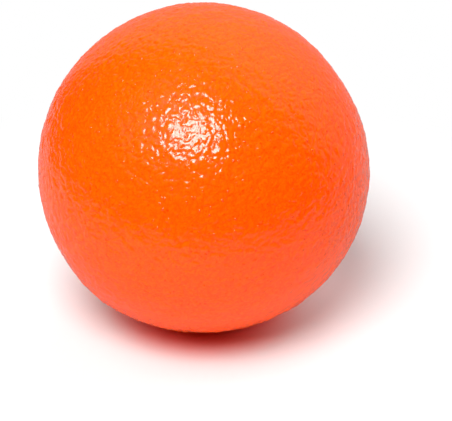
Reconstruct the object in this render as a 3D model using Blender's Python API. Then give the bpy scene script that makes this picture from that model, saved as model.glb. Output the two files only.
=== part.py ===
"""A coated foam ball for throwing and racket games, at rest on a floor.

A moulded foam core is sealed by a base coat and covered by a sprayed colour coat. One narrow vent
at the back runs through both coats into the foam, so that the ball breathes when it is squeezed.
Units are metres. +Z is up, -Y is the front, and the origin is on the floor under the ball's middle.
"""

import math
from collections import namedtuple

import bmesh
import bpy
from mathutils import Vector

# Driving sizes of the ball and its layers
BALL_DIAMETER = 0.0900
COLOUR_COAT = 0.0005
BASE_COAT = 0.0004
LAYER_GAP = 0.0003

# How far the underside is pressed in where the ball's own weight flattens it
RESTING_FLAT = 0.0005

# The vent: its bore, how far it runs into the foam, and where it leaves the ball
VENT_DIAMETER = 0.0024
VENT_DEPTH_IN_FOAM = 0.0120
VENT_BEARING = math.radians(90)
VENT_RISE = math.radians(20)
VENT_SIDES = 16

# How far a cutting body runs past the skin
CUT_OVERRUN = 0.0050

# Steps of the round surfaces, each four times as fine as the one before
SKIN_STEPS = 5
INNER_STEPS = 4

# The moulding isn't quite round. A swell has a bearing from +X towards +Y, a rise above the level
# middle, a height over the round ball, which is negative for a flat, and the angle where it fades.
Swell = namedtuple("Swell", "bearing rise height fade")
SWELLS = (
    Swell(bearing=math.radians(-10), rise=math.radians(-18), height=0.00035, fade=math.radians(30)),
    Swell(bearing=math.radians(-150), rise=math.radians(-43), height=0.00046, fade=math.radians(12)),
    Swell(bearing=math.radians(94), rise=math.radians(62), height=0.00025, fade=math.radians(20)),
    Swell(bearing=math.radians(17), rise=math.radians(29), height=-0.00056, fade=math.radians(15)),
    Swell(bearing=math.radians(-77), rise=math.radians(-61), height=-0.00042, fade=math.radians(23)),
)

# Finishes: linear colour and roughness, none of them metallic
Finish = namedtuple("Finish", "colour roughness")
SPRAYED_ORANGE = Finish(colour=(1.0, 0.13, 0.004), roughness=0.28)
SEALING_COAT = Finish(colour=(0.90, 0.36, 0.10), roughness=0.50)
MOULDED_FOAM = Finish(colour=(0.85, 0.72, 0.42), roughness=0.90)

# Depth under the skin at which each layer starts
BASE_COAT_DEPTH = COLOUR_COAT + LAYER_GAP
FOAM_DEPTH = BASE_COAT_DEPTH + BASE_COAT + LAYER_GAP

BALL_MIDDLE = Vector((0.0, 0.0, BALL_DIAMETER / 2 - RESTING_FLAT))


def clear_scene():
    for obj in list(bpy.data.objects):
        bpy.data.objects.remove(obj)


def direction_of(bearing, rise):
    level = math.cos(rise)
    return Vector((level * math.cos(bearing), level * math.sin(bearing), math.sin(rise)))


def skin_radius(direction):
    """Distance from the ball's middle to its skin, with the moulding's swells and flats."""
    radius = BALL_DIAMETER / 2
    for swell in SWELLS:
        away = direction.angle(direction_of(swell.bearing, swell.rise))
        radius += swell.height * math.exp(-((away / swell.fade) ** 2))
    return radius


def layer_mesh(name, depth, steps):
    """Closed ball surface at a depth under the skin, cut flat by the same depth above the floor."""
    bm = bmesh.new()
    bmesh.ops.create_icosphere(bm, subdivisions=steps, radius=1.0)
    for vert in bm.verts:
        direction = vert.co.normalized()
        vert.co = BALL_MIDDLE + direction * (skin_radius(direction) - depth)
    cut = bmesh.ops.bisect_plane(
        bm,
        geom=bm.verts[:] + bm.edges[:] + bm.faces[:],
        plane_co=(0.0, 0.0, depth),
        plane_no=(0.0, 0.0, -1.0),
        clear_outer=True,
    )
    rim = [item for item in cut["geom_cut"] if isinstance(item, bmesh.types.BMEdge)]
    bmesh.ops.contextual_create(bm, geom=rim)
    bmesh.ops.recalc_face_normals(bm, faces=bm.faces)
    mesh = bpy.data.meshes.new(name)
    bm.to_mesh(mesh)
    bm.free()
    mesh.shade_smooth()
    return mesh


def vent_mesh(name):
    """Cutting cylinder from outside the skin down to the vent's end in the foam."""
    outer = BALL_DIAMETER / 2 + CUT_OVERRUN
    inner = BALL_DIAMETER / 2 - FOAM_DEPTH - VENT_DEPTH_IN_FOAM
    out = direction_of(VENT_BEARING, VENT_RISE)
    bm = bmesh.new()
    bmesh.ops.create_cone(
        bm,
        cap_ends=True,
        segments=VENT_SIDES,
        radius1=VENT_DIAMETER / 2,
        radius2=VENT_DIAMETER / 2,
        depth=outer - inner,
    )
    turn = out.to_track_quat("Z", "Y").to_matrix()
    for vert in bm.verts:
        vert.co = BALL_MIDDLE + turn @ vert.co + out * (outer + inner) / 2
    mesh = bpy.data.meshes.new(name)
    bm.to_mesh(mesh)
    bm.free()
    return mesh


def give_material(obj, name, finish):
    made = bpy.data.materials.new(name)
    made.use_nodes = True
    shader = made.node_tree.nodes["Principled BSDF"]
    shader.inputs["Base Color"].default_value = (*finish.colour, 1.0)
    shader.inputs["Roughness"].default_value = finish.roughness
    shader.inputs["Metallic"].default_value = 0.0
    obj.data.materials.append(made)


def add_object(name, mesh, parent):
    obj = bpy.data.objects.new(name, mesh)
    bpy.context.scene.collection.objects.link(obj)
    obj.parent = parent
    return obj


def add_cutter(name, mesh, parent):
    obj = add_object(name, mesh, parent)
    obj.hide_render = True
    obj.display_type = "WIRE"
    return obj


def cut_away(obj, cutter):
    boolean = obj.modifiers.new(cutter.name, "BOOLEAN")
    boolean.operation = "DIFFERENCE"
    boolean.solver = "EXACT"
    boolean.object = cutter


def add_coat(name, depth, wall, steps, vent, parent):
    """Hollow coat whose outside lies at a depth under the skin, open at the vent."""
    coat = add_object(name, layer_mesh(name, depth, steps), parent)
    hollow_name = name + "_hollow"
    hollow = add_cutter(hollow_name, layer_mesh(hollow_name, depth + wall, INNER_STEPS), parent)
    cut_away(coat, hollow)
    cut_away(coat, vent)
    return coat


def middle_from_above(mesh):
    """Middle of a mesh's box, on the floor."""
    xs = [vert.co.x for vert in mesh.vertices]
    ys = [vert.co.y for vert in mesh.vertices]
    return Vector(((min(xs) + max(xs)) / 2, (min(ys) + max(ys)) / 2, 0.0))


def main():
    clear_scene()
    ball = add_object("ball", None, None)
    vent = add_cutter("vent_cutter", vent_mesh("vent_cutter"), ball)

    colour_coat = add_coat("colour_coat", 0.0, COLOUR_COAT, SKIN_STEPS, vent, ball)
    give_material(colour_coat, "sprayed_orange_coat", SPRAYED_ORANGE)

    base_coat = add_coat("base_coat", BASE_COAT_DEPTH, BASE_COAT, INNER_STEPS, vent, ball)
    give_material(base_coat, "sealing_coat", SEALING_COAT)

    foam_core = add_object("foam_core", layer_mesh("foam_core", FOAM_DEPTH, INNER_STEPS), ball)
    cut_away(foam_core, vent)
    give_material(foam_core, "moulded_foam", MOULDED_FOAM)

    # The swells shift the ball's box a little, so the whole ball moves to stand over the origin.
    ball.location = -middle_from_above(colour_coat.data)


main()
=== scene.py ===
# %% [markdown]
# A coated foam ball for throwing and racket games. A soft foam moulding is sealed by a thin sprayed coat,
# and over that goes a glossy orange skin. The skin goes on wet and shrinks as it dries, so it puckers into
# fine wrinkles, and those wrinkles are what the eye meets first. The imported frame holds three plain
# layers. This script dresses each of them, and moves none.

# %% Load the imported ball
import math

import bpy
import numpy as np
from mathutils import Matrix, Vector


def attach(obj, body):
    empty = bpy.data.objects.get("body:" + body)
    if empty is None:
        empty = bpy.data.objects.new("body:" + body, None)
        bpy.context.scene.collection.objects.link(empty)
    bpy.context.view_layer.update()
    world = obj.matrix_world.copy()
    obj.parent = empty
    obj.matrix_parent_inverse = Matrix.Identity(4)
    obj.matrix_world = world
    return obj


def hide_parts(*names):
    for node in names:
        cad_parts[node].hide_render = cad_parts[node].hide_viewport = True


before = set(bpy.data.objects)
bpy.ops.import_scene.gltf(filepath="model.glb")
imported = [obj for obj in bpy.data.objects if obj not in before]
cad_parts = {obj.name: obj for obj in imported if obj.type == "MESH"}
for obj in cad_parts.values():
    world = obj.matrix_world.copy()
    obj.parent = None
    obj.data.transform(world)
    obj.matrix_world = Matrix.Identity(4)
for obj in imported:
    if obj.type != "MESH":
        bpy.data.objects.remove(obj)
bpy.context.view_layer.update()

# %% [markdown]
# Shapes and finishes below are all trees of nodes, so one helper adds a node: it sets the node's own
# settings, then goes through its inputs, linking what is a socket and filling in what is a plain value.
# Inputs go by name, or by number where several share a name: the two colours of a Mix node are 6 and 7.
# Colours are written as sRGB hex, as a paint card gives them. Shaders want linear light, so one function
# turns the first into the second. Places on a ball are easiest to think of as a bearing and a rise, as on
# a globe, so another function makes a direction of them.

# %% Helpers
MM = 0.001


def add(tree, kind, inputs=None, **settings):
    """Adds a node with its settings, links and values."""
    node = tree.nodes.new(kind)
    for name, value in settings.items():
        setattr(node, name, value)
    for key, value in (inputs or {}).items():
        if isinstance(value, bpy.types.NodeSocket):
            tree.links.new(value, node.inputs[key])
        else:
            node.inputs[key].default_value = value
    return node


def linear(hex_colour):
    """An sRGB hex colour as linear red, green, blue and alpha."""
    parts = [int(hex_colour[i : i + 2], 16) / 255 for i in (1, 3, 5)]
    return [c / 12.92 if c <= 0.04045 else ((c + 0.055) / 1.055) ** 2.4 for c in parts] + [1.0]


def direction_of(bearing, rise):
    """Unit vector from a bearing, turned from +X towards +Y, and a rise above level, in degrees."""
    turn = math.radians(bearing)
    tilt = math.radians(rise)
    return Vector((math.cos(tilt) * math.cos(turn), math.cos(tilt) * math.sin(turn), math.sin(tilt)))


print("mid grey in linear light:", [round(c, 3) for c in linear("#808080")])

# %% [markdown]
# A foam moulding is never quite round. This one has a few broad swells and flats of up to about half a
# millimetre, and a small flat where it rests. All three layers follow them, each at its own depth, so the
# form is written once, in the same sizes as the solid layers. A swell is a bump that fades with the angle
# from its middle: four numbers each, and no seam anywhere.

# %% The form of the ball
BALL_RADIUS = 45.0 * MM
RESTING_FLAT = 0.5 * MM
COLOUR_COAT = 0.5 * MM
BASE_COAT = 0.4 * MM
LAYER_GAP = 0.3 * MM
BASE_COAT_DEPTH = COLOUR_COAT + LAYER_GAP
FOAM_DEPTH = BASE_COAT_DEPTH + BASE_COAT + LAYER_GAP

# Bearing and rise of each swell's middle, its height, and the angle over which it fades
SWELLS = (
    (-10, -18, 0.35 * MM, 30),
    (-150, -43, 0.46 * MM, 12),
    (94, 62, 0.25 * MM, 20),
    (17, 29, -0.56 * MM, 15),
    (-77, -61, -0.42 * MM, 23),
)
# Places around the ball and up it at which its box is measured
PLACES_AROUND, PLACES_UP = 721, 361


def form_radius(directions):
    """Radius of the ball's form along each of an array of unit directions."""
    radius = np.full(len(directions), BALL_RADIUS)
    for bearing, rise, height, fade in SWELLS:
        cosine = np.clip(directions @ np.array(direction_of(bearing, rise)), -1, 1)
        radius += height * np.exp(-((np.degrees(np.arccos(cosine)) / fade) ** 2))
    return radius


def ball_middle():
    """Middle of the ball, placed so that the box of its form stands centred over the origin."""
    turns = np.linspace(0, 2 * math.pi, PLACES_AROUND)
    heights = np.linspace(-1, 1, PLACES_UP)
    level = np.sqrt(1 - heights**2)
    x = np.outer(level, np.cos(turns))
    y = np.outer(level, np.sin(turns))
    z = np.outer(heights, np.ones_like(turns))
    directions = np.stack([x, y, z], -1).reshape(-1, 3)
    places = directions * form_radius(directions)[:, None]
    across = (places.min(0) + places.max(0)) / 2
    return Vector((-across[0], -across[1], BALL_RADIUS - RESTING_FLAT))


MIDDLE = ball_middle()
print("middle of the ball in mm:", [round(c / MM, 2) for c in MIDDLE])

# %% [markdown]
# Each layer is grown by a tree of Geometry Nodes, not modelled by hand, because its shape follows a rule,
# and a rule can be tried with other sizes. Every size is a named input of the tree. A tree by itself makes
# nothing: a modifier on an object runs it. The sizes go in by each socket's identifier, because that is
# how a modifier keeps them. The result is copied into a plain mesh and the modifier is taken off, so that
# what is left bakes and exports as any mesh does.

# %% From sizes to a tree, and from a tree to a mesh
def new_tree(name, sizes):
    """A Geometry Nodes tree with a named input for each size and for the finish, and those inputs."""
    tree = bpy.data.node_groups.new(name, "GeometryNodeTree")
    for label, value in sizes.items():
        kind = "NodeSocketInt" if isinstance(value, int) else "NodeSocketFloat"
        tree.interface.new_socket(label, in_out="INPUT", socket_type=kind)
    tree.interface.new_socket("Finish", in_out="INPUT", socket_type="NodeSocketMaterial")
    tree.interface.new_socket("Mesh", in_out="OUTPUT", socket_type="NodeSocketGeometry")
    return tree, tree.nodes.new("NodeGroupInput").outputs


def make_piece(name, tree, values):
    """Runs a tree with its values on an empty object and keeps the result as a plain mesh."""
    piece = bpy.data.objects.new(name, bpy.data.meshes.new(name))
    bpy.context.scene.collection.objects.link(piece)
    modifier = piece.modifiers.new(tree.name, "NODES")
    modifier.node_group = tree
    for socket in tree.interface.items_tree:
        if socket.in_out == "INPUT":
            modifier[socket.identifier] = values[socket.name]
    graph = bpy.context.evaluated_depsgraph_get()
    piece.data = bpy.data.meshes.new_from_object(piece.evaluated_get(graph), depsgraph=graph)
    piece.modifiers.remove(modifier)
    piece.data.calc_loop_triangles()
    print(name, "has", len(piece.data.loop_triangles), "triangles")
    return piece


# %% [markdown]
# Each layer starts as a grid on a ball. A UV sphere crowds its points at two poles and spreads them thin
# at its middle, where wrinkles would come out coarse. So a finely cut cube is blown up instead: a tangent
# spreads its points evenly, and each is then pushed out to the form's radius. The cube's own unfolding
# stays on it as a map for baking, which gives clean, even squares.

# %% A grid on the ball's form
def mapped(tree, primitive, share=1.0, corner=(0.0, 0.0, 0.0)):
    """A primitive with its unfolding kept as a map, shrunk to a share of it and moved to a corner."""
    shrunk = {0: primitive.outputs["UV Map"], 1: [share] * 3, 2: corner}
    place = add(tree, "ShaderNodeVectorMath", shrunk, operation="MULTIPLY_ADD").outputs[0]
    kept = {"Geometry": primitive.outputs["Mesh"], "Name": "OFBake", "Value": place}
    return add(tree, "GeometryNodeStoreNamedAttribute", kept, data_type="FLOAT2", domain="CORNER").outputs[0]


def fall_off(tree, direction, towards, fade):
    """1 along a direction, falling as a bell does over an angle."""
    pair = {0: direction, 1: towards}
    cosine = add(tree, "ShaderNodeVectorMath", pair, operation="DOT_PRODUCT").outputs["Value"]
    angle = add(tree, "ShaderNodeMath", {0: cosine}, operation="ARCCOSINE").outputs[0]
    share = add(tree, "ShaderNodeMath", {0: angle, 1: fade}, operation="DIVIDE").outputs[0]
    square = add(tree, "ShaderNodeMath", {0: share, 1: share}, operation="MULTIPLY").outputs[0]
    minus = add(tree, "ShaderNodeMath", {0: square, 1: -1.0}, operation="MULTIPLY").outputs[0]
    return add(tree, "ShaderNodeMath", {0: minus}, operation="EXPONENT").outputs[0]


def ball_grid(tree, fineness, map_share=1.0):
    """A blown-up cube: its mesh, the direction of each point, and the form's radius along it."""
    points = add(tree, "ShaderNodeMath", {0: fineness, 1: 1.0}, operation="ADD").outputs[0]
    cut = {"Size": (2, 2, 2), "Vertices X": points, "Vertices Y": points, "Vertices Z": points}
    cube = mapped(tree, add(tree, "GeometryNodeMeshCube", cut), map_share)
    place = add(tree, "GeometryNodeInputPosition").outputs[0]
    angle = {0: place, 1: [math.pi / 4] * 3}
    turned = add(tree, "ShaderNodeVectorMath", angle, operation="MULTIPLY").outputs[0]
    spread = add(tree, "ShaderNodeVectorMath", {0: turned}, operation="TANGENT").outputs[0]
    unit = add(tree, "ShaderNodeVectorMath", {0: spread}, operation="NORMALIZE").outputs[0]
    grid = add(tree, "GeometryNodeSetPosition", {"Geometry": cube, "Position": unit}).outputs[0]
    # From here on a point's place is its direction from the ball's middle.
    direction = add(tree, "GeometryNodeInputPosition").outputs[0]
    radius = BALL_RADIUS
    for bearing, rise, height, fade in SWELLS:
        away = fall_off(tree, direction, direction_of(bearing, rise), math.radians(fade))
        swollen = {0: away, 1: height, 2: radius}
        radius = add(tree, "ShaderNodeMath", swollen, operation="MULTIPLY_ADD").outputs[0]
    return grid, direction, radius


print("swells and flats on the form:", len(SWELLS))

# %% [markdown]
# A ball at rest lies on a small flat that its own weight presses into it. A plane could cut that flat, but
# each cut would need a new cap. Pressing is simpler: a point that would lie under the flat is lifted up to
# it, and the surface stays closed. An inner layer lies at its depth under the skin, and its flat lies as
# far above the floor.

# %% A layer at its depth
def set_down(tree, grid, direction, radius, depth):
    """Pushes a grid out to a radius less a depth, and presses it flat that depth above the floor."""
    reach = add(tree, "ShaderNodeMath", {0: radius, 1: depth}, operation="SUBTRACT").outputs[0]
    out = add(tree, "ShaderNodeVectorMath", {0: direction, "Scale": reach}, operation="SCALE").outputs[0]
    place = add(tree, "ShaderNodeVectorMath", {0: out, 1: MIDDLE}, operation="ADD").outputs[0]
    part = add(tree, "ShaderNodeSeparateXYZ", {0: place}).outputs
    height = add(tree, "ShaderNodeMath", {0: part[2], 1: depth}, operation="MAXIMUM").outputs[0]
    pressed = add(tree, "ShaderNodeCombineXYZ", {0: part[0], 1: part[1], 2: height}).outputs[0]
    return add(tree, "GeometryNodeSetPosition", {"Geometry": grid, "Position": pressed}).outputs[0]


print("layers start", [round(d / MM, 2) for d in (0.0, BASE_COAT_DEPTH, FOAM_DEPTH)], "mm under the skin")

# %% [markdown]
# A narrow vent at the back lets the ball breathe when it is squeezed. It goes through both coats and ends
# in the foam. Each layer could have its own hole, but then the three would have to line up, so one
# cylinder cuts them all. Its own unfolding goes into a free corner of the map, and so the wall of the vent
# bakes too.

# %% Vent
VENT_DIAMETER = 2.4 * MM
VENT_DEPTH_IN_FOAM = 12.0 * MM
VENT_OVERRUN = 5.0 * MM
VENT_DIRECTION = direction_of(90, 20)
VENT_SIDES = 48
VENT_MAP_SHARE = 0.2
VENT_MAP_CORNER = (0.7, 0.05, 0.0)


def vent_bore(tree):
    """A closed cylinder from outside the skin down to the vent's end in the foam."""
    outer = BALL_RADIUS + VENT_OVERRUN
    inner = BALL_RADIUS - FOAM_DEPTH - VENT_DEPTH_IN_FOAM
    sizes = {"Vertices": VENT_SIDES, "Radius": VENT_DIAMETER / 2, "Depth": outer - inner}
    cylinder = add(tree, "GeometryNodeMeshCylinder", sizes)
    bore = mapped(tree, cylinder, VENT_MAP_SHARE, VENT_MAP_CORNER)
    turn = VENT_DIRECTION.to_track_quat("Z", "Y").to_euler()
    place = MIDDLE + VENT_DIRECTION * (outer + inner) / 2
    moved = {"Geometry": bore, "Translation": place, "Rotation": turn}
    return add(tree, "GeometryNodeTransform", moved).outputs[0]


print("vent of", VENT_DIAMETER / MM, "mm at the back")

# %% [markdown]
# The coats are hollow: each is a closed outer surface with a slightly smaller ball taken out of it. A
# Boolean makes that cut and the vent's, because it leaves a true wall with a clean rim, where a plain hole
# in the faces would show paper-thin edges. The smaller ball shrinks its map into another free corner, so
# that nothing overlaps. The layer is then shaded smooth, but for the cut edges, which stay crisp.

# %% Walls and finish of a layer
HOLLOW_MAP_SHARE = 0.22
# Edges that turn by more than this are cut edges.
CUT_EDGE = math.radians(55)


def hollow(tree, given, depth):
    """The smooth inside of a coat: a ball at a depth under the skin."""
    grid, direction, radius = ball_grid(tree, given["Hollow fineness"], HOLLOW_MAP_SHARE)
    return set_down(tree, grid, direction, radius, depth)


def finish_layer(tree, layer, cutters, finish):
    """Cuts a layer, shades it smooth but for its cut edges, and gives it its finish."""
    cut = add(tree, "GeometryNodeMeshBoolean", {"Mesh 1": layer}, operation="DIFFERENCE", solver="MANIFOLD")
    for cutter in cutters:
        tree.links.new(cutter, cut.inputs["Mesh 2"])
    angle = add(tree, "GeometryNodeInputMeshEdgeAngle").outputs["Unsigned Angle"]
    steep = add(tree, "FunctionNodeCompare", {0: angle, 1: CUT_EDGE}, operation="GREATER_THAN").outputs[0]
    whole = {"Geometry": cut.outputs["Mesh"]}
    smooth = add(tree, "GeometryNodeSetShadeSmooth", whole, domain="FACE").outputs[0]
    edged = {"Geometry": smooth, "Selection": steep, "Shade Smooth": False}
    shaded = add(tree, "GeometryNodeSetShadeSmooth", edged, domain="EDGE").outputs[0]
    real = add(tree, "GeometryNodeRealizeInstances", {"Geometry": shaded}).outputs[0]
    dressed = add(tree, "GeometryNodeSetMaterial", {"Geometry": real, "Material": finish}).outputs[0]
    add(tree, "NodeGroupOutput", {"Mesh": dressed})


print("edges stay sharp from", round(math.degrees(CUT_EDGE)), "degrees")

# %% [markdown]
# The skin's wrinkles are pads of one to two millimetres with narrow creases between them. Sculpting them
# would take days, and a bump map alone would leave the ball's outline as smooth as glass. So the tree
# lifts real points. Where a noise crosses its middle value lies a crease, and the further from that
# crossing, the higher the pad: the absolute value of the noise does just that. Pinholes, left where a
# bubble has burst in the wet coat, come from a pattern of spots.

# %% Wrinkles and pinholes
SKIN_SIZES = {
    "Fineness": 256,
    "Hollow fineness": 48,
    "Wrinkle pitch": 2.3 * MM,
    "Wrinkle depth": 0.40 * MM,
    "Small wrinkle pitch": 1.0 * MM,
    "Small wrinkle depth": 0.13 * MM,
    "Dimple pitch": 4.6 * MM,
    "Dimple depth": 0.40 * MM,
    "Sideways push": 1.2 * MM,
    "Push pitch": 3.0 * MM,
    "Pinhole spacing": 2.8 * MM,
    "Pinhole radius": 0.45 * MM,
    "Pinhole depth": 0.12 * MM,
    "Vent dip": 0.35 * MM,
    "Seed": 21,
}


def unevenness(tree, place, pitch, seed):
    """Ups and downs of the wet coat, about a pitch wide: first as one number, then as three."""
    scale = add(tree, "ShaderNodeMath", {0: 1.0, 1: pitch}, operation="DIVIDE").outputs[0]
    # One finer layer of noise, a little under half as strong, keeps the shapes from being round.
    sown = {"Vector": place, "W": seed, "Scale": scale, "Detail": 1.0, "Roughness": 0.45}
    return add(tree, "ShaderNodeTexNoise", sown, noise_dimensions="4D").outputs


def pads(tree, place, pitch, seed, drop):
    """Height of puckered skin: 0 along a crease, rising towards 1 on the pads."""
    noise = unevenness(tree, place, pitch, seed)[0]
    side = add(tree, "ShaderNodeMath", {0: noise, 1: 2.0, 2: -1.0}, operation="MULTIPLY_ADD").outputs[0]
    away = add(tree, "ShaderNodeMath", {0: side}, operation="ABSOLUTE").outputs[0]
    return add(tree, "ShaderNodeMath", {0: away, 1: drop}, operation="POWER").outputs[0]


def pinholes(tree, place, given):
    """1 in the middle of a pinhole, falling to 0 at its edge."""
    spaced = {0: 1.0, 1: given["Pinhole spacing"]}
    scale = add(tree, "ShaderNodeMath", spaced, operation="DIVIDE").outputs[0]
    # Spots fill all of space, and only the few that the skin happens to meet leave a pinhole.
    spots = add(tree, "ShaderNodeTexVoronoi", {"Vector": place, "Scale": scale}).outputs["Distance"]
    sized = {0: given["Pinhole radius"], 1: scale}
    edge = add(tree, "ShaderNodeMath", sized, operation="MULTIPLY").outputs[0]
    near = {"Value": spots, "From Min": 0.0, "From Max": edge, "To Min": 1.0, "To Max": 0.0}
    return add(tree, "ShaderNodeMapRange", near, interpolation_type="SMOOTHSTEP").outputs[0]


for noise_name in ("Wrinkle pitch", "Small wrinkle pitch", "Dimple pitch"):
    print(noise_name, "of the skin in mm:", round(SKIN_SIZES[noise_name] / MM, 2))

# %% [markdown]
# Two sizes of wrinkle lie over slow dimples, and a sideways push keeps the creases from looking combed.
# Each height has a level taken off it, so that the skin stays at the form's radius. How high on its pad a
# point lies is left on the mesh as well, because the finish wants to know where the creases are.

# %% The skin's tree
# How sharply a pad drops into its crease: under 1 the pad is flat and the crease narrow.
PAD_DROP = 0.65
SMALL_PAD_DROP = 0.9
# Levels that leave the skin at about the form's radius on average
PAD_LEVEL, SMALL_PAD_LEVEL, DIMPLE_LEVEL = 0.30, 0.20, 0.50
# Added to the seed, so that the small wrinkles and the dimples don't follow the large wrinkles
SEED_STEP = 10.0


def wrinkled(tree, given, direction, radius):
    """The form's radius with the skin's relief on it, and how high on its pad each point lies."""
    on_ball = {0: direction, "Scale": BALL_RADIUS}
    place = add(tree, "ShaderNodeVectorMath", on_ball, operation="SCALE").outputs[0]
    push = unevenness(tree, place, given["Push pitch"], given["Seed"])[1]
    push = add(tree, "ShaderNodeVectorMath", {0: push, 1: [0.5] * 3}, operation="SUBTRACT").outputs[0]
    amount = {0: push, "Scale": given["Sideways push"]}
    push = add(tree, "ShaderNodeVectorMath", amount, operation="SCALE").outputs[0]
    pushed = add(tree, "ShaderNodeVectorMath", {0: place, 1: push}, operation="ADD").outputs[0]
    stepped = {0: given["Seed"], 1: SEED_STEP}
    other_seed = add(tree, "ShaderNodeMath", stepped, operation="ADD").outputs[0]
    large = pads(tree, pushed, given["Wrinkle pitch"], given["Seed"], PAD_DROP)
    small = pads(tree, pushed, given["Small wrinkle pitch"], other_seed, SMALL_PAD_DROP)
    dimple = unevenness(tree, place, given["Dimple pitch"], other_seed)[0]
    hole = pinholes(tree, place, given)
    vent = fall_off(tree, direction, VENT_DIRECTION, VENT_DIAMETER / BALL_RADIUS)
    for height, depth, level in (
        (large, "Wrinkle depth", PAD_LEVEL),
        (small, "Small wrinkle depth", SMALL_PAD_LEVEL),
        (dimple, "Dimple depth", DIMPLE_LEVEL),
    ):
        raised = add(tree, "ShaderNodeMath", {0: height, 1: level}, operation="SUBTRACT").outputs[0]
        lifted = {0: raised, 1: given[depth], 2: radius}
        radius = add(tree, "ShaderNodeMath", lifted, operation="MULTIPLY_ADD").outputs[0]
    for dip, depth in ((hole, "Pinhole depth"), (vent, "Vent dip")):
        drop = add(tree, "ShaderNodeMath", {0: dip, 1: given[depth]}, operation="MULTIPLY").outputs[0]
        radius = add(tree, "ShaderNodeMath", {0: radius, 1: drop}, operation="SUBTRACT").outputs[0]
    pad = add(tree, "ShaderNodeMath", {0: large, 1: small}, operation="MINIMUM").outputs[0]
    whole = add(tree, "ShaderNodeMath", {0: 1.0, 1: hole}, operation="SUBTRACT").outputs[0]
    pad = add(tree, "ShaderNodeMath", {0: pad, 1: whole}, operation="MULTIPLY").outputs[0]
    return radius, pad


def skin_tree():
    """The whole colour coat: wrinkled outside, smooth inside, open at the vent."""
    tree, given = new_tree("wrinkled skin", SKIN_SIZES)
    grid, direction, radius = ball_grid(tree, given["Fineness"])
    radius, pad = wrinkled(tree, given, direction, radius)
    kept = {"Geometry": grid, "Name": "pad", "Value": pad}
    grid = add(tree, "GeometryNodeStoreNamedAttribute", kept, data_type="FLOAT", domain="POINT").outputs[0]
    outside = set_down(tree, grid, direction, radius, 0.0)
    inside = hollow(tree, given, COLOUR_COAT)
    finish_layer(tree, outside, (inside, vent_bore(tree)), given["Finish"])
    return tree


print("sizes that the skin's tree takes:", len(SKIN_SIZES))

# %% [markdown]
# The skin is polyurethane, sprayed on in a fluorescent orange. To the eye it is one strong colour with a
# slow cloudiness from the spray, redder in the creases as painted shade, and with a few small darker
# specks. A painted picture could hold all that, but it would have to be fitted to the wrinkles.
# Here each of those is one noise, or the pad height that the tree left on the points, so colour and relief
# can never slide apart.

# %% Colour of the skin
ORANGE = "#FF5200"
ORANGE_PALE = "#FF5602"
# Red that the creases turn towards: painted shade
CREASE_SHADE_RED = "#FA3200"
CLOUD_PITCH = 7.0 * MM
# Specks are about 0.3 mm on the real skin, and drawn coarser so that they show. They lie where a noise
# falls from one level to another.
SPECK_PITCH = 0.8 * MM
SPECK_STARTS, SPECK_FULL = 0.42, 0.28
SPECK_SHARE = 0.8


def skin_colour(tree, spot, crease):
    """Cloudy orange, turned towards red by specks and by painted shade in the creases."""
    cloudy = {"Vector": spot, "Scale": 1 / CLOUD_PITCH, "Detail": 3.0}
    cloud = add(tree, "ShaderNodeTexNoise", cloudy).outputs[0]
    sprayed = {0: cloud, 6: linear(ORANGE), 7: linear(ORANGE_PALE)}
    orange = add(tree, "ShaderNodeMix", sprayed, data_type="RGBA").outputs[2]
    fine = {"Vector": spot, "Scale": 1 / SPECK_PITCH, "Detail": 2.0}
    grain = add(tree, "ShaderNodeTexNoise", fine).outputs[0]
    fallen = {"From Min": SPECK_STARTS, "From Max": SPECK_FULL, "To Min": 0.0, "To Max": SPECK_SHARE}
    speck = add(tree, "ShaderNodeMapRange", {"Value": grain, **fallen}).outputs[0]
    # Painted shade in the creases, and the real specks, turn the orange towards red.
    crease_shade_and_speck = add(tree, "ShaderNodeMath", {0: crease, 1: speck}, operation="MAXIMUM").outputs[0]
    darkened = {0: crease_shade_and_speck, 6: orange, 7: linear(CREASE_SHADE_RED)}
    return add(tree, "ShaderNodeMix", darkened, data_type="RGBA").outputs[2]


print("colour coat runs from", ORANGE, "to", CREASE_SHADE_RED)

# %% [markdown]
# The finest wrinkles, and the bubbles under the coat that catch single glints away from the highlight, are
# too fine for a grid whose squares are nearly 0.3 mm wide. A finer one would take millions of faces, so a
# bump stands in for both: it tilts the light on the surface, and leaves the surface where it is.

# %% Fine relief of the skin
TINY_WRINKLE_PITCH = 0.5 * MM
TINY_WRINKLE_DEPTH = 0.03 * MM
BUBBLE_SPACING = 2.1 * MM
BUBBLE_RADIUS = 0.45 * MM
BUBBLE_HEIGHT = 0.22 * MM
# How far the bubbles' pattern is moved, so that a few of them catch the light below the highlight
BUBBLE_SHIFT = (7 * MM, 31 * MM, 41 * MM)


def skin_relief(tree, spot):
    """The slope that the tiny wrinkles and the bubbles under the coat give the surface."""
    tiny = {"Vector": spot, "Scale": 1 / TINY_WRINKLE_PITCH, "Detail": 1.5}
    wrinkle = add(tree, "ShaderNodeTexNoise", tiny).outputs[0]
    moved = add(tree, "ShaderNodeMapping", {"Vector": spot, "Location": BUBBLE_SHIFT}).outputs[0]
    blown = {"Vector": moved, "Scale": 1 / BUBBLE_SPACING}
    away = add(tree, "ShaderNodeTexVoronoi", blown).outputs["Distance"]
    edge = BUBBLE_RADIUS / BUBBLE_SPACING
    dome = {"Value": away, "From Min": 0.0, "From Max": edge, "To Min": BUBBLE_HEIGHT, "To Max": 0.0}
    bubble = add(tree, "ShaderNodeMapRange", dome, interpolation_type="SMOOTHSTEP").outputs[0]
    summed = {0: wrinkle, 1: TINY_WRINKLE_DEPTH, 2: bubble}
    relief = add(tree, "ShaderNodeMath", summed, operation="MULTIPLY_ADD").outputs[0]
    # The relief is already in metres, so the bump takes it as it is.
    bumped = {"Strength": 1.0, "Distance": 1.0, "Height": relief}
    return add(tree, "ShaderNodeBump", bumped).outputs[0]


print("bubbles of", BUBBLE_RADIUS * 2 / MM, "mm stand", BUBBLE_HEIGHT / MM, "mm high")
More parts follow.
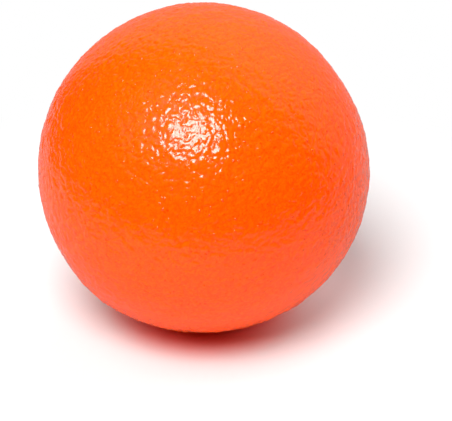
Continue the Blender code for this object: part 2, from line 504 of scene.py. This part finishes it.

# %% [markdown]
# Colour and relief now come together with the gloss of a wet coat, a little duller down in the creases.
# A clear coat on top could give that gloss, but the skin is one layer, so its own surface has it. The
# skin is then made, rides the ball's one body, and stands in for the plain colour coat, which is hidden.

# %% Colour coat
COAT_IOR = 1.48
PAD_ROUGHNESS, CREASE_ROUGHNESS = 0.10, 0.20
# Height on the pad under which a crease starts, and how much of the painted shade's red shows at the bottom
CREASE_EDGE = 0.20
CREASE_SHADE_SHARE = 0.5


def new_finish(name):
    """A material, its tree, its shader, and the place on the piece of the spot that is shaded."""
    made = bpy.data.materials.new(name)
    made.use_nodes = True
    tree = made.node_tree
    spot = add(tree, "ShaderNodeTexCoord").outputs["Object"]
    return made, tree, tree.nodes["Principled BSDF"], spot


def sprayed_skin():
    """Sprayed polyurethane skin."""
    # To the eye: a strong orange, creases redder with painted shade, and a wet gloss.
    made, tree, shader, spot = new_finish("sprayed polyurethane skin")
    shader.inputs["IOR"].default_value = COAT_IOR
    pad = add(tree, "ShaderNodeAttribute", attribute_name="pad").outputs["Fac"]
    # The share of painted shade in the creases, which also makes them duller
    crease_shade_range = {"From Min": 0.0, "From Max": CREASE_EDGE, "To Min": CREASE_SHADE_SHARE, "To Max": 0.0}
    crease = add(tree, "ShaderNodeMapRange", {"Value": pad, **crease_shade_range}).outputs[0]
    duller = {"From Max": CREASE_SHADE_SHARE, "To Min": PAD_ROUGHNESS, "To Max": CREASE_ROUGHNESS}
    roughness = add(tree, "ShaderNodeMapRange", {"Value": crease, **duller}).outputs[0]
    tree.links.new(skin_colour(tree, spot, crease), shader.inputs["Base Color"])
    tree.links.new(roughness, shader.inputs["Roughness"])
    tree.links.new(skin_relief(tree, spot), shader.inputs["Normal"])
    return made


skin = make_piece("colour_coat_skin", skin_tree(), {**SKIN_SIZES, "Finish": sprayed_skin()})
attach(skin, "root")
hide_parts("colour_coat")

# %% [markdown]
# Under the skin lies the sealing coat, a thin layer that soaks into the outer cells of the foam and closes
# them, so that the skin has something to hold to. It shows only at the vent. On the real ball it keeps the
# cells' shape as shallow dimples, like orange peel. Noise would give plain lumps, but Voronoi cells give
# that pattern: each point's distance from the middle of its cell is its height in the dimple.

# %% Shape of the sealing coat
BASE_COAT_SIZES = {
    "Fineness": 112,
    "Hollow fineness": 48,
    "Cell pitch": 2.6 * MM,
    "Cell depth": 0.36 * MM,
    "Seed": 3,
}
# Level of the cells that leaves a layer at the form's radius, or just under it, on average
CELL_LEVEL = 0.6


def celled_surface(tree, given, depth):
    """The outside of a layer at a depth under the skin, full of the cells of a foam."""
    grid, direction, radius = ball_grid(tree, given["Fineness"])
    on_ball = {0: direction, "Scale": BALL_RADIUS}
    place = add(tree, "ShaderNodeVectorMath", on_ball, operation="SCALE").outputs[0]
    scale = add(tree, "ShaderNodeMath", {0: 1.0, 1: given["Cell pitch"]}, operation="DIVIDE").outputs[0]
    sown = {"Vector": place, "W": given["Seed"], "Scale": scale}
    kind = {"voronoi_dimensions": "4D", "feature": "SMOOTH_F1"}
    cell = add(tree, "ShaderNodeTexVoronoi", sown, **kind).outputs["Distance"]
    sunk = add(tree, "ShaderNodeMath", {0: cell, 1: CELL_LEVEL}, operation="SUBTRACT").outputs[0]
    pressed = {0: sunk, 1: given["Cell depth"], 2: radius}
    radius = add(tree, "ShaderNodeMath", pressed, operation="MULTIPLY_ADD").outputs[0]
    # Each point's height in its cell stays on the mesh for the finish.
    kept = {"Geometry": grid, "Name": "cell", "Value": cell}
    grid = add(tree, "GeometryNodeStoreNamedAttribute", kept, data_type="FLOAT", domain="POINT").outputs[0]
    return set_down(tree, grid, direction, radius, depth)


def base_coat_tree():
    """The sealing coat: dimpled outside, smooth inside, open at the vent."""
    tree, given = new_tree("sealing coat", BASE_COAT_SIZES)
    outside = celled_surface(tree, given, BASE_COAT_DEPTH)
    inside = hollow(tree, given, BASE_COAT_DEPTH + BASE_COAT)
    finish_layer(tree, outside, (inside, vent_bore(tree)), given["Finish"])
    return tree


print("cells in the sealing coat, pitch in mm:", round(BASE_COAT_SIZES["Cell pitch"] / MM, 2))

# %% [markdown]
# The sealing coat is sprayed thin and dries satin. Its pale orange is a little darker towards the bottom
# of each dimple, and the mist of the spray leaves the gloss uneven. The darker tone follows the height that
# the tree left on the points, so it sits in the dimples, and a slow noise is enough for the mist.

# %% Sealing coat
SEALER = "#F5A862"
SEALER_DIMPLE_DARK = "#EC9A52"
# Heights in a dimple at which the darker tone is full, and at which it ends
DIMPLE_DARK_FULL, DIMPLE_DARK_ENDS = 0.1, 0.5
MIST_PITCH = 4.0 * MM
# Levels of the mist's noise between which the gloss changes, and the roughness at each
MIST_LEAST, MIST_MOST = 0.3, 0.7
SATIN_LEAST, SATIN_MOST = 0.42, 0.58


def satin_sealer():
    """Sprayed sealing coat."""
    # To the eye: a pale orange with a satin gloss, darker towards the bottom of each dimple.
    made, tree, shader, spot = new_finish("sprayed sealing coat")
    cell = add(tree, "ShaderNodeAttribute", attribute_name="cell").outputs["Fac"]
    dimple_dark_range = {"From Min": DIMPLE_DARK_FULL, "From Max": DIMPLE_DARK_ENDS, "To Min": 1.0, "To Max": 0.0}
    dimple_dark = add(tree, "ShaderNodeMapRange", {"Value": cell, **dimple_dark_range}).outputs[0]
    tone = {0: dimple_dark, 6: linear(SEALER), 7: linear(SEALER_DIMPLE_DARK)}
    colour = add(tree, "ShaderNodeMix", tone, data_type="RGBA").outputs[2]
    misty = {"Vector": spot, "Scale": 1 / MIST_PITCH, "Detail": 2.0}
    mist = add(tree, "ShaderNodeTexNoise", misty).outputs[0]
    uneven = {"From Min": MIST_LEAST, "From Max": MIST_MOST, "To Min": SATIN_LEAST, "To Max": SATIN_MOST}
    satin = add(tree, "ShaderNodeMapRange", {"Value": mist, **uneven}).outputs[0]
    tree.links.new(colour, shader.inputs["Base Color"])
    tree.links.new(satin, shader.inputs["Roughness"])
    return made


base_coat = make_piece("base_coat_layer", base_coat_tree(), {**BASE_COAT_SIZES, "Finish": satin_sealer()})
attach(base_coat, "root")
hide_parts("base_coat")

# %% [markdown]
# The core is a moulding of soft open-cell foam. Its cells are burst bubbles, so its surface is all small
# round hollows with thin walls between them. The same cell pattern serves as for the sealing coat, only
# finer, and the vent ends blind in it.

# %% Shape of the foam core
FOAM_SIZES = {
    "Fineness": 128,
    "Cell pitch": 2.2 * MM,
    "Cell depth": 0.28 * MM,
    "Seed": 5,
}


def foam_tree():
    """The foam moulding: porous outside, with the blind end of the vent in it."""
    tree, given = new_tree("foam core", FOAM_SIZES)
    outside = celled_surface(tree, given, FOAM_DEPTH)
    finish_layer(tree, outside, (vent_bore(tree),), given["Finish"])
    return tree


print("cells in the foam, pitch in mm:", round(FOAM_SIZES["Cell pitch"] / MM, 2))

# %% [markdown]
# The foam is pale cream and dead matt, with painted shade in its pores, where light gets lost. The large
# pores follow the height that the tree left on the points. Between them lie small bubbles, too many for the
# grid, so a second Voronoi pattern in the finish gives their painted shade and a slight bump.

# %% Foam core
FOAM_CREAM = "#F0E2B6"
# Painted shade in the pores
FOAM_PORE_SHADE = "#B59A62"
FOAM_ROUGHNESS = 0.95
FOAM_SPECULAR = 0.2
# Heights in the cells at which the painted pore shade is full, and at which it ends
PORE_SHADE_FULL, PORE_SHADE_ENDS = 0.35, 0.85
# Small cells are about 0.5 mm on the real foam, and drawn coarser so that they show.
SMALL_CELL_PITCH = 1.0 * MM
SMALL_CELL_DEPTH = 0.15 * MM


def open_cell_foam():
    """Open-cell polyurethane foam, as it comes from the mould."""
    # To the eye: a pale cream without any gloss, with painted shade in its pores.
    made, tree, shader, spot = new_finish("open-cell polyurethane foam")
    shader.inputs["Roughness"].default_value = FOAM_ROUGHNESS
    shader.inputs["Specular IOR Level"].default_value = FOAM_SPECULAR
    cell = add(tree, "ShaderNodeAttribute", attribute_name="cell").outputs["Fac"]
    fine = {"Vector": spot, "Scale": 1 / SMALL_CELL_PITCH}
    small = add(tree, "ShaderNodeTexVoronoi", fine).outputs["Distance"]
    wall = add(tree, "ShaderNodeMath", {0: cell, 1: small}, operation="ADD").outputs[0]
    lost = {"From Min": PORE_SHADE_FULL, "From Max": PORE_SHADE_ENDS, "To Min": 1.0, "To Max": 0.0}
    pore_shade = add(tree, "ShaderNodeMapRange", {"Value": wall, **lost}).outputs[0]
    tone = {0: pore_shade, 6: linear(FOAM_CREAM), 7: linear(FOAM_PORE_SHADE)}
    colour = add(tree, "ShaderNodeMix", tone, data_type="RGBA").outputs[2]
    bumped = {"Strength": 1.0, "Distance": SMALL_CELL_DEPTH, "Height": small}
    bump = add(tree, "ShaderNodeBump", bumped).outputs[0]
    tree.links.new(colour, shader.inputs["Base Color"])
    tree.links.new(bump, shader.inputs["Normal"])
    return made


foam_core = make_piece("foam_core_moulding", foam_tree(), {**FOAM_SIZES, "Finish": open_cell_foam()})
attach(foam_core, "root")
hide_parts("foam_core")

# %% [markdown]
# The photograph looks down on the ball from the front with a long lens. A ball's outline is very nearly a
# circle wherever the camera stands, so its size in the picture fixes the lens once a distance is chosen,
# and its place in the picture fixes the aim. The camera is turned just so far that the ball's middle lands
# where the photograph has it.

# %% Camera
# Size of the photograph, and the ball's middle and radius in it, in pixels
PHOTO_WIDTH, PHOTO_HEIGHT = 452, 421
BALL_IN_PHOTO = (203.5, 168.8)
BALL_PIXELS = 165.3
CAMERA_RISE = 28
CAMERA_DISTANCE = 0.60
SENSOR = 36.0

towards_camera = direction_of(-90, CAMERA_RISE)
focal_pixels = BALL_PIXELS / math.tan(math.asin(BALL_RADIUS / CAMERA_DISTANCE))
right = (BALL_IN_PHOTO[0] - PHOTO_WIDTH / 2) / focal_pixels
up = (PHOTO_HEIGHT / 2 - BALL_IN_PHOTO[1]) / focal_pixels
seen = Vector((right, up, -1.0))

camera = bpy.data.objects.new("camera", bpy.data.cameras.new("camera"))
bpy.context.scene.collection.objects.link(camera)
camera.data.sensor_width = SENSOR
camera.data.lens = focal_pixels / PHOTO_WIDTH * SENSOR
camera.location = MIDDLE + towards_camera * CAMERA_DISTANCE
camera.rotation_mode = "QUATERNION"
straight = (-towards_camera).to_track_quat("-Z", "Y")
camera.rotation_quaternion = straight @ seen.rotation_difference(Vector((0, 0, -1)))
bpy.context.scene.camera = camera
print("lens in mm:", round(camera.data.lens, 1))

# %% [markdown]
# The ball lies on white paper. A round sheet stands in for it, set back so that its front edge lies where
# the skin mirrors the end of the paper. A square sheet would do as well, but its corners would show in
# the skin.

# %% Floor
FLOOR_RADIUS = 0.25
FLOOR_MIDDLE = 0.11
FLOOR_SIDES = 128

turns = np.linspace(0, 2 * math.pi, FLOOR_SIDES, endpoint=False)
rim = [(FLOOR_RADIUS * math.cos(t), FLOOR_MIDDLE + FLOOR_RADIUS * math.sin(t), 0.0) for t in turns]
floor = bpy.data.objects.new("floor", bpy.data.meshes.new("floor"))
floor.data.from_pydata(rim, [], [list(range(len(rim)))])
bpy.context.scene.collection.objects.link(floor)
print("floor is", FLOOR_RADIUS * 2, "m across")

# %% [markdown]
# The paper is matt, and holds the ball's shadow. Fluorescent paint throws more red on the paper than a
# shader's paint can, so close to the ball the camera sees painted red bounce light on it, with a painted
# contact shadow that darkens its green and blue. Further off the photograph is pure white, and there the
# paper fades to plain white for the camera. Light that goes from the paper to the ball starts from a
# brighter tone, and the skin mirrors a dimmer one, dimmest in front, where the room is dark. Light Path
# tells those rays apart.

# %% Paper
PAPER = "#D0D0D0"
PAPER_BOUNCE = "#F6F6F6"
PAPER_ROUGHNESS = 0.9
# Painted red bounce light and painted contact shadow, full close to where the ball rests
PAINTED_RED_BOUNCE_AND_SHADOW = "#FF6559"
# Distances in metres from where the ball rests
PAINTED_BOUNCE_FULL, PAINTED_BOUNCE_ENDS = 0.010, 0.030
WHITE_STARTS, WHITE_FULL = 0.085, 0.135
# Tones that the skin mirrors, and how far in front and behind they are reached
MIRRORED_IN_FRONT, MIRRORED_BEHIND = 0.20, 0.31
MIRROR_REACH = 0.10


def white_paper():
    """Matt white paper, uncoated."""
    # To the eye: no gloss at all, painted red bounce light and painted contact shadow close to the ball, and
    # plain white further off.
    made, tree, matt, spot = new_finish("white paper")
    matt.inputs["Roughness"].default_value = PAPER_ROUGHNESS
    matt.inputs["Specular IOR Level"].default_value = 0.0
    away = add(tree, "ShaderNodeVectorMath", {0: spot}, operation="LENGTH").outputs["Value"]
    rays = add(tree, "ShaderNodeLightPath").outputs
    looks = {0: rays["Is Camera Ray"], 1: rays["Is Transmission Ray"]}
    straight_on = add(tree, "ShaderNodeMath", looks, operation="MAXIMUM").outputs[0]

    # The tone that is seen straight on, with painted red bounce light and painted contact shadow near the
    # ball
    near = {"Value": away, "From Min": PAINTED_BOUNCE_FULL, "From Max": PAINTED_BOUNCE_ENDS, "To Min": 1.0, "To Max": 0.0}
    bounce_and_shadow = add(tree, "ShaderNodeMapRange", near, interpolation_type="SMOOTHSTEP").outputs[0]
    tinted = {0: bounce_and_shadow, 6: linear(PAPER), 7: linear(PAINTED_RED_BOUNCE_AND_SHADOW)}
    paper = add(tree, "ShaderNodeMix", tinted, data_type="RGBA").outputs[2]

    # The tones that the skin mirrors and that light bounces from
    along = add(tree, "ShaderNodeSeparateXYZ", {0: spot}).outputs[1]
    reach = {"From Min": -MIRROR_REACH, "From Max": MIRROR_REACH}
    depth = {"Value": along, **reach, "To Min": MIRRORED_IN_FRONT, "To Max": MIRRORED_BEHIND}
    mirrored = add(tree, "ShaderNodeMapRange", depth).outputs[0]
    unseen = {0: rays["Is Glossy Ray"], 6: linear(PAPER_BOUNCE), 7: mirrored}
    tone = add(tree, "ShaderNodeMix", unseen, data_type="RGBA").outputs[2]
    told_apart = {0: straight_on, 6: tone, 7: paper}
    tone = add(tree, "ShaderNodeMix", told_apart, data_type="RGBA").outputs[2]
    tree.links.new(tone, matt.inputs["Base Color"])

    # Plain white further off
    edge = {"Value": away, "From Min": WHITE_STARTS, "From Max": WHITE_FULL, "To Min": 0.0, "To Max": 1.0}
    fade = add(tree, "ShaderNodeMapRange", edge, interpolation_type="SMOOTHSTEP").outputs[0]
    share = add(tree, "ShaderNodeMath", {0: fade, 1: straight_on}, operation="MULTIPLY").outputs[0]
    white = add(tree, "ShaderNodeEmission", {"Color": (1, 1, 1, 1), "Strength": 1.0}).outputs[0]
    both = add(tree, "ShaderNodeMixShader", {0: share, 1: matt.outputs[0], 2: white}).outputs[0]
    tree.links.new(both, tree.nodes["Material Output"].inputs["Surface"])
    return made


floor.data.materials.append(white_paper())
print("paper is plain white from", WHITE_FULL, "m off")

# %% [markdown]
# One round softbox above and in front makes the sparkle on the wrinkles. Its size sets how many pads
# catch it at once, and its place is where the photograph's highlight points. Two wide panels fill in from
# the left and from behind on the right, wide so that the shadow is soft. They are kept out of the skin's
# reflections, because the photograph has only one highlight. Fluorescent paint is full red even in the
# shade, which a shader's paint isn't, so the lamps are set until the shaded side is just full. The lit
# side then gets more than plain light, and only its green shows how much.

# %% Lamps
def soft_lamp(name, bearing, rise, distance, diameter, power):
    """A round area lamp that faces the ball's middle, in degrees, metres and watts."""
    direction = direction_of(bearing, rise)
    lamp = bpy.data.objects.new(name, bpy.data.lights.new(name, "AREA"))
    bpy.context.scene.collection.objects.link(lamp)
    lamp.data.shape = "DISK"
    lamp.data.size = diameter
    lamp.data.energy = power
    lamp.location = MIDDLE + direction * distance
    lamp.rotation_mode = "QUATERNION"
    lamp.rotation_quaternion = direction.to_track_quat("Z", "Y")
    return lamp


soft_lamp("softbox", bearing=-102, rise=53, distance=0.9, diameter=0.44, power=8.7)
left_panel = soft_lamp("left_panel", bearing=225, rise=55, distance=0.8, diameter=0.8, power=6.8)
right_panel = soft_lamp("right_panel", bearing=42, rise=40, distance=0.8, diameter=1.2, power=6.9)
for panel in (left_panel, right_panel):
    panel.visible_glossy = False

# %% [markdown]
# The skin mirrors the room, and that is what gives the ball its pale rim: a white backdrop behind and to
# the right, and a dim room everywhere else. Real cards could stand there, but a world is simpler: a cone
# of light with a soft edge, as bright as the rim in the photograph asks for. Rays that look straight on,
# from the camera or through something clear, see plain white instead.

# %% World
BACKDROP = direction_of(63, 12)
BACKDROP_LEVEL, ROOM_LEVEL = 0.37, 0.011
# Cosines of the angles from the backdrop's middle between which its edge fades
BACKDROP_ENDS, BACKDROP_FULL = 0.42, 0.58

world = bpy.data.worlds.new("studio")
world.use_nodes = True
bpy.context.scene.world = world
tree = world.node_tree
tree.nodes.clear()
looking = add(tree, "ShaderNodeTexCoord").outputs["Generated"]
pair = {0: looking, 1: BACKDROP}
facing = add(tree, "ShaderNodeVectorMath", pair, operation="DOT_PRODUCT").outputs["Value"]
rim_fade = {"From Min": BACKDROP_ENDS, "From Max": BACKDROP_FULL}
cone = {"Value": facing, **rim_fade, "To Min": ROOM_LEVEL, "To Max": BACKDROP_LEVEL}
level = add(tree, "ShaderNodeMapRange", cone, interpolation_type="SMOOTHSTEP").outputs[0]
rays = add(tree, "ShaderNodeLightPath").outputs
looks = {0: rays["Is Camera Ray"], 1: rays["Is Transmission Ray"]}
straight_on = add(tree, "ShaderNodeMath", looks, operation="MAXIMUM").outputs[0]
strength = add(tree, "ShaderNodeMix", {0: straight_on, 2: level, 3: 1.0}, data_type="FLOAT").outputs[0]
light = add(tree, "ShaderNodeBackground", {"Color": (1, 1, 1, 1), "Strength": strength}).outputs[0]
add(tree, "ShaderNodeOutputWorld", {"Surface": light})
bpy.context.scene.view_settings.view_transform = "Standard"
print("backdrop", BACKDROP_LEVEL, "room", ROOM_LEVEL)
